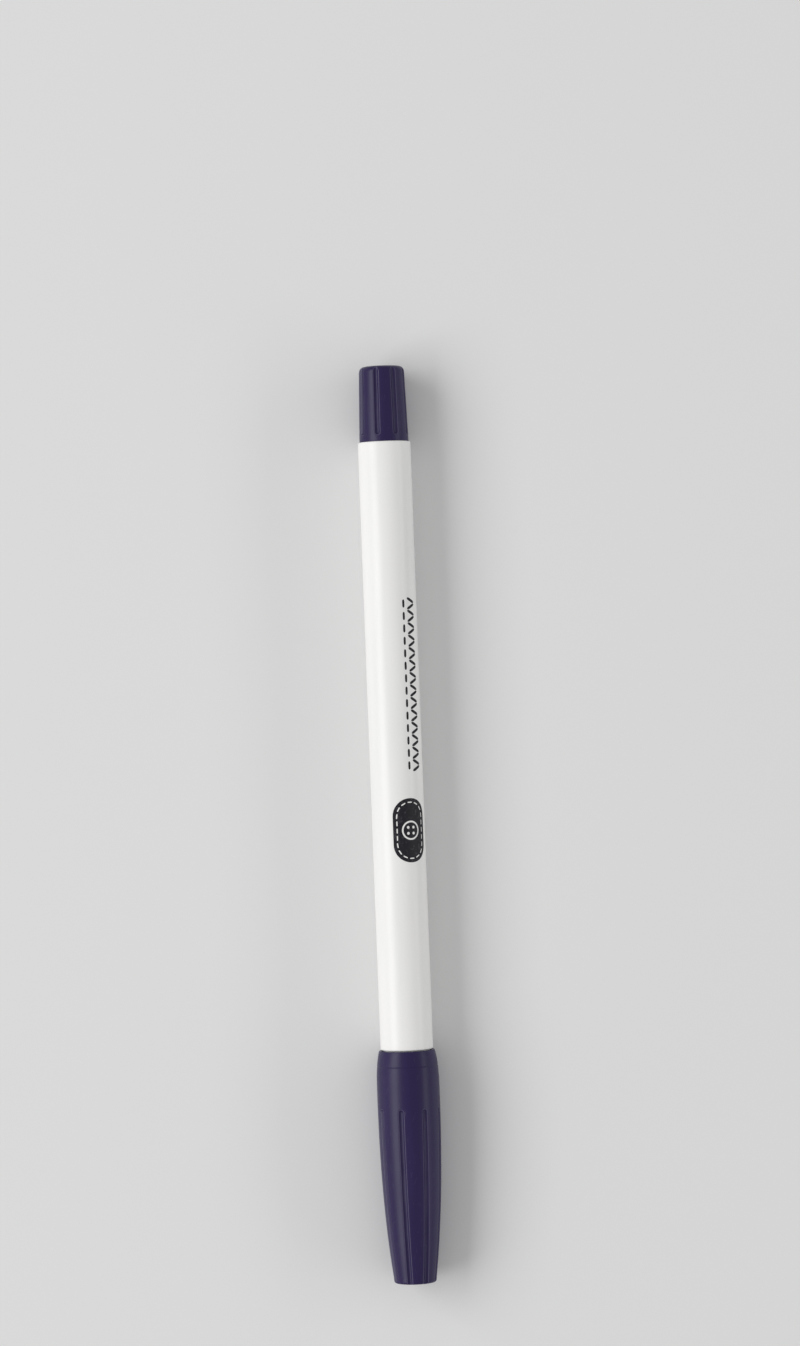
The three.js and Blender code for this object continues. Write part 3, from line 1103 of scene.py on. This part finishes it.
def add_felt(name, outline, body, finish, slot, node, depth, width, length):
    """Adds a turned piece of fibre with strands of a depth, width and length."""
    rough = run_nodes(turned(name, outline, SMALL_COLUMNS), (felt, {
        "Depth": depth * MM,
        "Strand width": width * MM,
        "Strand length": length * MM,
        "Material": finish,
    }))
    add_piece(name, rough, body, finish, slot, node)


add_turned("barrel_tube", barrel_outline(), "pen", white_plastic, "white_plastic", "barrel")
add_turned("nose_moulding", nose_outline(), "pen", white_plastic, "white_plastic", "nose_section")
add_felt(
    "nib_bullet",
    nib_outline(),
    "pen",
    inked_felt,
    "inked_felt",
    "nib",
    depth=0.035,
    width=0.09,
    length=0.9,
)
add_felt(
    "reservoir_fibre",
    parted(core_outline(), FIBRE_STEP),
    "pen",
    soaked_fibre,
    "soaked_fibre",
    "reservoir_core",
    depth=0.03,
    width=0.2,
    length=8,
)
add_turned(
    "reservoir_film",
    sleeve_outline(),
    "pen",
    clear_film(),
    "clear_film",
    "reservoir_sleeve",
    SMALL_COLUMNS,
)

plug_outside, plug_rest = plug_outlines()
plug_skins = [max(r, PLUG_END_RADIUS) for r, _ in plug_outside] + [NO_SKIN] * len(plug_rest)
add_grooved(
    "tail_plug_grooved",
    plug_outside + plug_rest,
    plug_skins,
    "pen",
    "tail_plug",
    start=PLUG_GROOVE_START,
    run=-1,
)
cap_inside, cap_outside = cap_outlines()
cap_skins = [NO_SKIN] * len(cap_inside) + [max(r, CAP_END_RADIUS) for r, _ in cap_outside]
add_grooved(
    "cap_shell_grooved",
    cap_inside + cap_outside,
    cap_skins,
    "cap",
    "cap_shell",
    start=CAP_GROOVE_START,
    run=1,
)
add_turned("cap_liner_cup", liner_outline(), "cap", liner_plastic, "liner_plastic", "cap_liner")


def add_print(name, *steps):
    """Adds a flat print that node trees draw, wrapped round the barrel."""
    wrap = (wrapped_print, {
        "Radius": BARREL_RADIUS * MM,
        "Sink": PRINT_SINK * MM,
        "Thickness": PRINT_THICKNESS * MM,
        "Axis height": AXIS_Z,
    })
    steps = [(tree, {**values, "Material": print_ink}) for tree, values in (*steps, wrap)]
    mesh = run_nodes(bpy.data.meshes.new(name), *steps)
    add_piece(name, mesh, "pen", print_ink, "print_ink")


def way_round(turn):
    """The way round the barrel's skin to a turn, in metres."""
    return turn * BARREL_RADIUS * MM


add_print(
    "printed_stitches",
    (stitch_row, {
        "Stitches": round(PRINT_LENGTH / ZIGZAG_PITCH),
        "Pitch": ZIGZAG_PITCH * MM,
        "Stitch length": (math.hypot(ZIGZAG_PITCH, ZIGZAG_HEIGHT) - ZIGZAG_GAP) * MM,
        "Stitch width": ZIGZAG_WIDTH * MM,
        "Lean": math.atan2(ZIGZAG_HEIGHT, ZIGZAG_PITCH),
        "Start": (RIM_X + (PRINT_REAR + ZIGZAG_PITCH / 2) * MM, way_round(ZIGZAG_TURN), 0),
    }),
    (stitch_row, {
        "Stitches": round(PRINT_LENGTH / STRAIGHT_PITCH),
        "Pitch": STRAIGHT_PITCH * MM,
        "Stitch length": STRAIGHT_LENGTH * MM,
        "Stitch width": STRAIGHT_WIDTH * MM,
        "Lean": 0.0,
        "Start": (RIM_X + (PRINT_REAR + STRAIGHT_PITCH / 2) * MM, way_round(STRAIGHT_TURN), 0),
    }),
)
add_print("printed_patch", (stitched_patch, {
    "Length": PATCH_LENGTH * MM,
    "Height": PATCH_HEIGHT * MM,
    "Inset": PATCH_INSET * MM,
    "Stitches": PATCH_STITCHES,
    "Stitch length": PATCH_STITCH_LENGTH * MM,
    "Stitch width": PATCH_STITCH_WIDTH * MM,
    "Button radius": BUTTON_RADIUS * MM,
    "Ring width": BUTTON_RING_WIDTH * MM,
    "Hole radius": BUTTON_HOLE_RADIUS * MM,
    "Hole spacing": BUTTON_HOLE_SPACING * MM,
    "Centre": (RIM_X + PATCH_STATION * MM, way_round(PATCH_TURN), 0),
}))


# Floor, room and lights

def pale_floor():
    """A wide round floor under the pen."""
    turns = [math.tau * i / FLOOR_CORNERS for i in range(FLOOR_CORNERS)]
    corners = [(FLOOR_RADIUS * math.cos(t), FLOOR_RADIUS * math.sin(t), 0) for t in turns]
    mesh = bpy.data.meshes.new("floor")
    mesh.from_pydata(corners, [], [tuple(range(FLOOR_CORNERS))])
    made, graph = new_finish("pale_floor")
    end_finish(graph, {"Base Color": FLOOR, "Roughness": 0.9, "Specular IOR Level": 0.2})
    mesh.materials.append(made)
    new_object("floor", mesh)


def room():
    """Even light from all round."""
    world = bpy.data.worlds.new("room")
    bpy.context.scene.world = world
    world.use_nodes = True
    graph = Graph(world.node_tree)
    light = graph.node("ShaderNodeBackground", None, {"Strength": ROOM_LIGHT, "Color": (1, 1, 1, 1)})
    graph.node("ShaderNodeOutputWorld", None, {"Surface": light})


def softbox(name, place, size, level):
    """A soft lamp that faces the pen. Its level is what it adds to a white face that is turned to it."""
    lamp = bpy.data.lights.new(name, "AREA")
    lamp.shape = "RECTANGLE"
    lamp.size, lamp.size_y = size
    away = Vector(place)
    lamp.energy = level * math.pi**2 * away.length_squared
    made = new_object(name, lamp)
    made.location = away
    made.rotation_euler = away.to_track_quat("Z", "Y").to_euler()


def camera():
    """Looks straight down, with the tail at the top of the frame, and the pen leaning a little."""
    lens = bpy.data.cameras.new("camera")
    lens.lens = LENS
    lens.sensor_width = SENSOR
    made = new_object("camera", lens)
    turn = math.pi / 2 - PEN_LEAN
    right = Vector((math.cos(turn), math.sin(turn), 0))
    up = Vector((-math.sin(turn), math.cos(turn), 0))
    aside = (PHOTO_MIDDLE[0] - PEN_PIXEL[0]) / PIXELS_PER_MM * MM
    above = (PEN_PIXEL[1] - PHOTO_MIDDLE[1]) / PIXELS_PER_MM * MM
    height = PHOTO_HEIGHT / PIXELS_PER_MM * MM * LENS / SENSOR
    made.location = right * aside + up * above + Vector((0, 0, AXIS_Z + height))
    made.rotation_euler = (0, 0, turn)
    bpy.context.scene.camera = made


pale_floor()
room()
softbox("key_light", KEY_PLACE, KEY_SIZE, KEY_LEVEL)
softbox("fill_light", FILL_PLACE, FILL_SIZE, FILL_LEVEL)
camera()
bpy.context.scene.view_settings.view_transform = "Standard"
